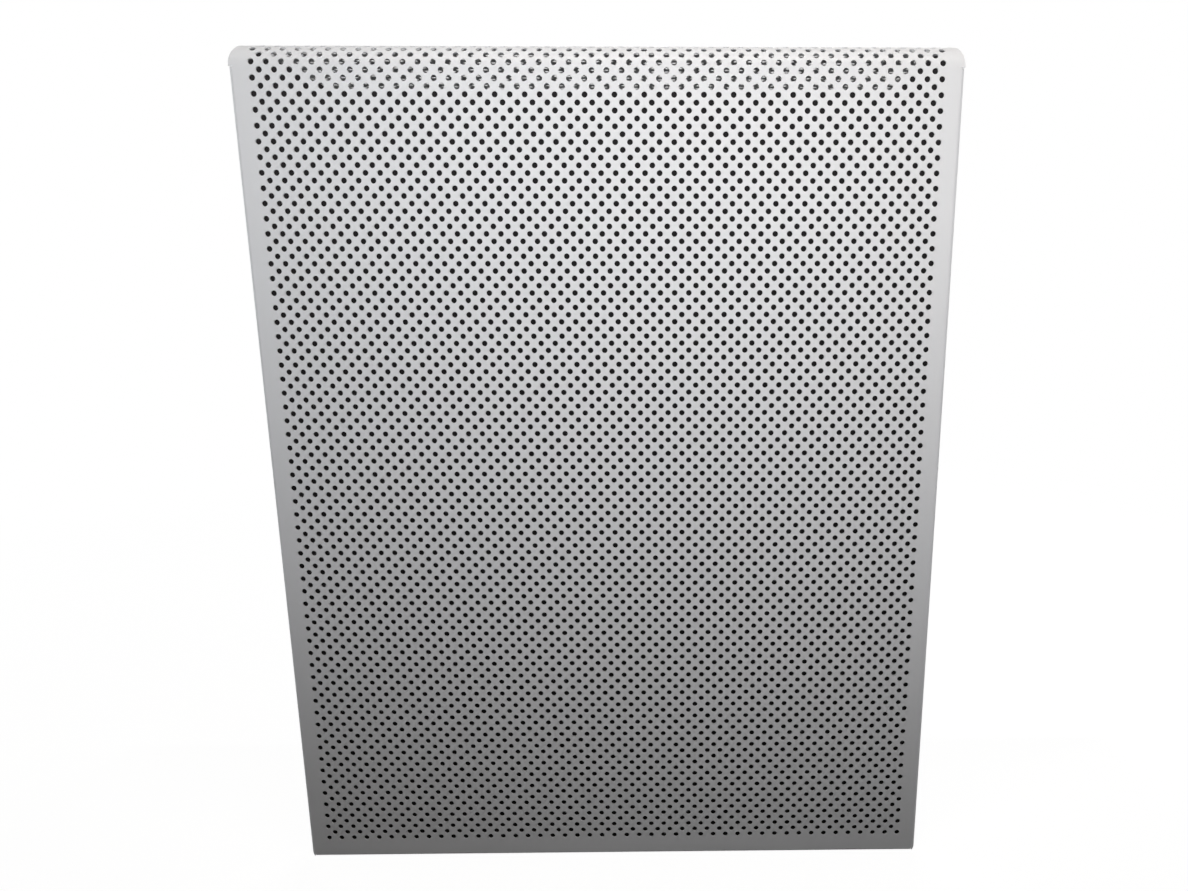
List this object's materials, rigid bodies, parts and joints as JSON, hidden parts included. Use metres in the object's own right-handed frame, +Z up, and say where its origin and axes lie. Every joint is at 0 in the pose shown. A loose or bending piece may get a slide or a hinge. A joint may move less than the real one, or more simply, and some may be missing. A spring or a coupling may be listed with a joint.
{
  "type": "radiator cover",
  "caption": "Perforated sheet-steel radiator cover: flat front with rolled top edge, shelf with rear lip, narrow side and bottom returns.",
  "frame": {"origin": "middle of the width and depth, level with the lower edge of the front", "axes": "+Z up the front, the front face looks along -Y, +X to the right of someone who faces it"},
  "size_m": [0.49, 0.168, 0.61],
  "materials": {
    "powder_coat": "white satin powder coat"
  },
  "bodies": {
    "root": {"cover": "powder_coat"}
  },
  "joints": []
}
